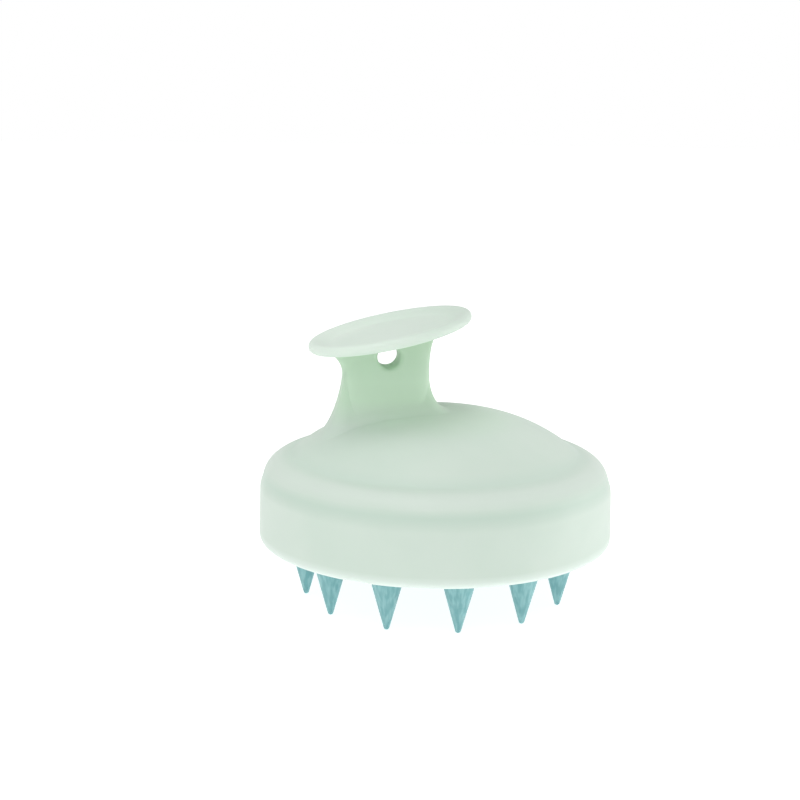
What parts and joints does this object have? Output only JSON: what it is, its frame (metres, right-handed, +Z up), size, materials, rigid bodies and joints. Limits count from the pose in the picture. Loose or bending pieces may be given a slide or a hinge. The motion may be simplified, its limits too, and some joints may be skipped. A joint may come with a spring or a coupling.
{
  "type": "scalp massager brush",
  "caption": "Round palm-held scalp massager: soft-touch domed shell, necked handle with a tilted dished finger cap and a hang hole, and rings of flexible silicone teeth underneath.",
  "frame": {"origin": "on the round body's axis, in the plane of the outer tooth tips", "axes": "+Z up along the body's axis from the tooth tips to the finger cap; the handle's symmetry plane is XZ with the neck on the -X side and the cap rising towards +X; the hang hole runs along Y"},
  "size_m": [0.08, 0.08, 0.0653],
  "materials": {
    "mint_plastic": "pale mint green moulded plastic with a matte soft-touch coat",
    "mint_cap": "pale mint green moulded plastic, matte, slightly lighter than the shell",
    "inner_plastic": "uncoated moulded plastic, hidden inside the shell",
    "teal_silicone": "smooth translucent teal silicone with a soft gloss"
  },
  "bodies": {
    "holder": {"handle_shell": "mint_plastic", "finger_cap": "mint_cap", "backing_plate": "inner_plastic", "clamp_ring": "mint_plastic", "bristle_pad": "teal_silicone"},
    "outer_tooth_01": {"outer_tooth_01": "teal_silicone"},
    "outer_tooth_02": {"outer_tooth_02": "teal_silicone"},
    "outer_tooth_03": {"outer_tooth_03": "teal_silicone"},
    "outer_tooth_04": {"outer_tooth_04": "teal_silicone"},
    "outer_tooth_05": {"outer_tooth_05": "teal_silicone"},
    "outer_tooth_06": {"outer_tooth_06": "teal_silicone"},
    "outer_tooth_07": {"outer_tooth_07": "teal_silicone"},
    "outer_tooth_08": {"outer_tooth_08": "teal_silicone"},
    "outer_tooth_09": {"outer_tooth_09": "teal_silicone"},
    "outer_tooth_10": {"outer_tooth_10": "teal_silicone"},
    "outer_tooth_11": {"outer_tooth_11": "teal_silicone"},
    "outer_tooth_12": {"outer_tooth_12": "teal_silicone"},
    "middle_tooth_01": {"middle_tooth_01": "teal_silicone"},
    "middle_tooth_02": {"middle_tooth_02": "teal_silicone"},
    "middle_tooth_03": {"middle_tooth_03": "teal_silicone"},
    "middle_tooth_04": {"middle_tooth_04": "teal_silicone"},
    "middle_tooth_05": {"middle_tooth_05": "teal_silicone"},
    "middle_tooth_06": {"middle_tooth_06": "teal_silicone"},
    "middle_tooth_07": {"middle_tooth_07": "teal_silicone"},
    "middle_tooth_08": {"middle_tooth_08": "teal_silicone"},
    "middle_tooth_09": {"middle_tooth_09": "teal_silicone"},
    "middle_tooth_10": {"middle_tooth_10": "teal_silicone"},
    "middle_tooth_11": {"middle_tooth_11": "teal_silicone"},
    "middle_tooth_12": {"middle_tooth_12": "teal_silicone"},
    "inner_tooth_01": {"inner_tooth_01": "teal_silicone"},
    "inner_tooth_02": {"inner_tooth_02": "teal_silicone"},
    "inner_tooth_03": {"inner_tooth_03": "teal_silicone"},
    "inner_tooth_04": {"inner_tooth_04": "teal_silicone"},
    "inner_tooth_05": {"inner_tooth_05": "teal_silicone"},
    "inner_tooth_06": {"inner_tooth_06": "teal_silicone"},
    "centre_tooth": {"centre_tooth": "teal_silicone"}
  },
  "joints": [
    {"name": "outer_tooth_01_lean", "type": "hinge", "parent": "holder", "child": "outer_tooth_01", "pos_m": [0.0295, 0, 0.0118], "axis": [0, 1, 0], "range_deg": [-25, 25], "stiffness_Nm_per_rad": 0.002},
    {"name": "outer_tooth_02_lean", "type": "hinge", "parent": "holder", "child": "outer_tooth_02", "pos_m": [0.02555, 0.01475, 0.0118], "axis": [0, 1, 0], "range_deg": [-25, 25], "stiffness_Nm_per_rad": 0.002},
    {"name": "outer_tooth_03_lean", "type": "hinge", "parent": "holder", "child": "outer_tooth_03", "pos_m": [0.01475, 0.02555, 0.0118], "axis": [0, 1, 0], "range_deg": [-25, 25], "stiffness_Nm_per_rad": 0.002},
    {"name": "outer_tooth_04_lean", "type": "hinge", "parent": "holder", "child": "outer_tooth_04", "pos_m": [0, 0.0295, 0.0118], "axis": [0, 1, 0], "range_deg": [-25, 25], "stiffness_Nm_per_rad": 0.002},
    {"name": "outer_tooth_05_lean", "type": "hinge", "parent": "holder", "child": "outer_tooth_05", "pos_m": [-0.01475, 0.02555, 0.0118], "axis": [0, 1, 0], "range_deg": [-25, 25], "stiffness_Nm_per_rad": 0.002},
    {"name": "outer_tooth_06_lean", "type": "hinge", "parent": "holder", "child": "outer_tooth_06", "pos_m": [-0.02555, 0.01475, 0.0118], "axis": [0, 1, 0], "range_deg": [-25, 25], "stiffness_Nm_per_rad": 0.002},
    {"name": "outer_tooth_07_lean", "type": "hinge", "parent": "holder", "child": "outer_tooth_07", "pos_m": [-0.0295, 0, 0.0118], "axis": [0, 1, 0], "range_deg": [-25, 25], "stiffness_Nm_per_rad": 0.002},
    {"name": "outer_tooth_08_lean", "type": "hinge", "parent": "holder", "child": "outer_tooth_08", "pos_m": [-0.02555, -0.01475, 0.0118], "axis": [0, 1, 0], "range_deg": [-25, 25], "stiffness_Nm_per_rad": 0.002},
    {"name": "outer_tooth_09_lean", "type": "hinge", "parent": "holder", "child": "outer_tooth_09", "pos_m": [-0.01475, -0.02555, 0.0118], "axis": [0, 1, 0], "range_deg": [-25, 25], "stiffness_Nm_per_rad": 0.002},
    {"name": "outer_tooth_10_lean", "type": "hinge", "parent": "holder", "child": "outer_tooth_10", "pos_m": [0, -0.0295, 0.0118], "axis": [0, 1, 0], "range_deg": [-25, 25], "stiffness_Nm_per_rad": 0.002},
    {"name": "outer_tooth_11_lean", "type": "hinge", "parent": "holder", "child": "outer_tooth_11", "pos_m": [0.01475, -0.02555, 0.0118], "axis": [0, 1, 0], "range_deg": [-25, 25], "stiffness_Nm_per_rad": 0.002},
    {"name": "outer_tooth_12_lean", "type": "hinge", "parent": "holder", "child": "outer_tooth_12", "pos_m": [0.02555, -0.01475, 0.0118], "axis": [0, 1, 0], "range_deg": [-25, 25], "stiffness_Nm_per_rad": 0.002},
    {"name": "middle_tooth_01_lean", "type": "hinge", "parent": "holder", "child": "middle_tooth_01", "pos_m": [0.01739, 0.00466, 0.0118], "axis": [0, 1, 0], "range_deg": [-25, 25], "stiffness_Nm_per_rad": 0.0001},
    {"name": "middle_tooth_02_lean", "type": "hinge", "parent": "holder", "child": "middle_tooth_02", "pos_m": [0.01273, 0.01273, 0.0118], "axis": [0, 1, 0], "range_deg": [-25, 25], "stiffness_Nm_per_rad": 0.0001},
    {"name": "middle_tooth_03_lean", "type": "hinge", "parent": "holder", "child": "middle_tooth_03", "pos_m": [0.00466, 0.01739, 0.0118], "axis": [0, 1, 0], "range_deg": [-25, 25], "stiffness_Nm_per_rad": 0.0001},
    {"name": "middle_tooth_04_lean", "type": "hinge", "parent": "holder", "child": "middle_tooth_04", "pos_m": [-0.00466, 0.01739, 0.0118], "axis": [0, 1, 0], "range_deg": [-25, 25], "stiffness_Nm_per_rad": 0.0001},
    {"name": "middle_tooth_05_lean", "type": "hinge", "parent": "holder", "child": "middle_tooth_05", "pos_m": [-0.01273, 0.01273, 0.0118], "axis": [0, 1, 0], "range_deg": [-25, 25], "stiffness_Nm_per_rad": 0.0001},
    {"name": "middle_tooth_06_lean", "type": "hinge", "parent": "holder", "child": "middle_tooth_06", "pos_m": [-0.01739, 0.00466, 0.0118], "axis": [0, 1, 0], "range_deg": [-25, 25], "stiffness_Nm_per_rad": 0.0001},
    {"name": "middle_tooth_07_lean", "type": "hinge", "parent": "holder", "child": "middle_tooth_07", "pos_m": [-0.01739, -0.00466, 0.0118], "axis": [0, 1, 0], "range_deg": [-25, 25], "stiffness_Nm_per_rad": 0.0001},
    {"name": "middle_tooth_08_lean", "type": "hinge", "parent": "holder", "child": "middle_tooth_08", "pos_m": [-0.01273, -0.01273, 0.0118], "axis": [0, 1, 0], "range_deg": [-25, 25], "stiffness_Nm_per_rad": 0.0001},
    {"name": "middle_tooth_09_lean", "type": "hinge", "parent": "holder", "child": "middle_tooth_09", "pos_m": [-0.00466, -0.01739, 0.0118], "axis": [0, 1, 0], "range_deg": [-25, 25], "stiffness_Nm_per_rad": 0.0001},
    {"name": "middle_tooth_10_lean", "type": "hinge", "parent": "holder", "child": "middle_tooth_10", "pos_m": [0.00466, -0.01739, 0.0118], "axis": [0, 1, 0], "range_deg": [-25, 25], "stiffness_Nm_per_rad": 0.0001},
    {"name": "middle_tooth_11_lean", "type": "hinge", "parent": "holder", "child": "middle_tooth_11", "pos_m": [0.01273, -0.01273, 0.0118], "axis": [0, 1, 0], "range_deg": [-25, 25], "stiffness_Nm_per_rad": 0.0001},
    {"name": "middle_tooth_12_lean", "type": "hinge", "parent": "holder", "child": "middle_tooth_12", "pos_m": [0.01739, -0.00466, 0.0118], "axis": [0, 1, 0], "range_deg": [-25, 25], "stiffness_Nm_per_rad": 0.0001},
    {"name": "inner_tooth_01_lean", "type": "hinge", "parent": "holder", "child": "inner_tooth_01", "pos_m": [0.009, 0, 0.0118], "axis": [0, 1, 0], "range_deg": [-25, 25], "stiffness_Nm_per_rad": 0.0001},
    {"name": "inner_tooth_02_lean", "type": "hinge", "parent": "holder", "child": "inner_tooth_02", "pos_m": [0.0045, 0.00779, 0.0118], "axis": [0, 1, 0], "range_deg": [-25, 25], "stiffness_Nm_per_rad": 0.0001},
    {"name": "inner_tooth_03_lean", "type": "hinge", "parent": "holder", "child": "inner_tooth_03", "pos_m": [-0.0045, 0.00779, 0.0118], "axis": [0, 1, 0], "range_deg": [-25, 25], "stiffness_Nm_per_rad": 0.0001},
    {"name": "inner_tooth_04_lean", "type": "hinge", "parent": "holder", "child": "inner_tooth_04", "pos_m": [-0.009, 0, 0.0118], "axis": [0, 1, 0], "range_deg": [-25, 25], "stiffness_Nm_per_rad": 0.0001},
    {"name": "inner_tooth_05_lean", "type": "hinge", "parent": "holder", "child": "inner_tooth_05", "pos_m": [-0.0045, -0.00779, 0.0118], "axis": [0, 1, 0], "range_deg": [-25, 25], "stiffness_Nm_per_rad": 0.0001},
    {"name": "inner_tooth_06_lean", "type": "hinge", "parent": "holder", "child": "inner_tooth_06", "pos_m": [0.0045, -0.00779, 0.0118], "axis": [0, 1, 0], "range_deg": [-25, 25], "stiffness_Nm_per_rad": 0.0001},
    {"name": "centre_tooth_lean", "type": "hinge", "parent": "holder", "child": "centre_tooth", "pos_m": [0, 0, 0.0118], "axis": [0, 1, 0], "range_deg": [-25, 25], "stiffness_Nm_per_rad": 0.0001}
  ],
  "couplings": [
    {"joint": "outer_tooth_02_lean", "follows": "outer_tooth_01_lean", "ratio": 1},
    {"joint": "outer_tooth_03_lean", "follows": "outer_tooth_01_lean", "ratio": 1},
    {"joint": "outer_tooth_04_lean", "follows": "outer_tooth_01_lean", "ratio": 1},
    {"joint": "outer_tooth_05_lean", "follows": "outer_tooth_01_lean", "ratio": 1},
    {"joint": "outer_tooth_06_lean", "follows": "outer_tooth_01_lean", "ratio": 1},
    {"joint": "outer_tooth_07_lean", "follows": "outer_tooth_01_lean", "ratio": 1},
    {"joint": "outer_tooth_08_lean", "follows": "outer_tooth_01_lean", "ratio": 1},
    {"joint": "outer_tooth_09_lean", "follows": "outer_tooth_01_lean", "ratio": 1},
    {"joint": "outer_tooth_10_lean", "follows": "outer_tooth_01_lean", "ratio": 1},
    {"joint": "outer_tooth_11_lean", "follows": "outer_tooth_01_lean", "ratio": 1},
    {"joint": "outer_tooth_12_lean", "follows": "outer_tooth_01_lean", "ratio": 1},
    {"joint": "middle_tooth_02_lean", "follows": "middle_tooth_01_lean", "ratio": 1},
    {"joint": "middle_tooth_03_lean", "follows": "middle_tooth_01_lean", "ratio": 1},
    {"joint": "middle_tooth_04_lean", "follows": "middle_tooth_01_lean", "ratio": 1},
    {"joint": "middle_tooth_05_lean", "follows": "middle_tooth_01_lean", "ratio": 1},
    {"joint": "middle_tooth_06_lean", "follows": "middle_tooth_01_lean", "ratio": 1},
    {"joint": "middle_tooth_07_lean", "follows": "middle_tooth_01_lean", "ratio": 1},
    {"joint": "middle_tooth_08_lean", "follows": "middle_tooth_01_lean", "ratio": 1},
    {"joint": "middle_tooth_09_lean", "follows": "middle_tooth_01_lean", "ratio": 1},
    {"joint": "middle_tooth_10_lean", "follows": "middle_tooth_01_lean", "ratio": 1},
    {"joint": "middle_tooth_11_lean", "follows": "middle_tooth_01_lean", "ratio": 1},
    {"joint": "middle_tooth_12_lean", "follows": "middle_tooth_01_lean", "ratio": 1},
    {"joint": "inner_tooth_02_lean", "follows": "inner_tooth_01_lean", "ratio": 1},
    {"joint": "inner_tooth_03_lean", "follows": "inner_tooth_01_lean", "ratio": 1},
    {"joint": "inner_tooth_04_lean", "follows": "inner_tooth_01_lean", "ratio": 1},
    {"joint": "inner_tooth_05_lean", "follows": "inner_tooth_01_lean", "ratio": 1},
    {"joint": "inner_tooth_06_lean", "follows": "inner_tooth_01_lean", "ratio": 1},
    {"joint": "centre_tooth_lean", "follows": "inner_tooth_01_lean", "ratio": 1}
  ]
}
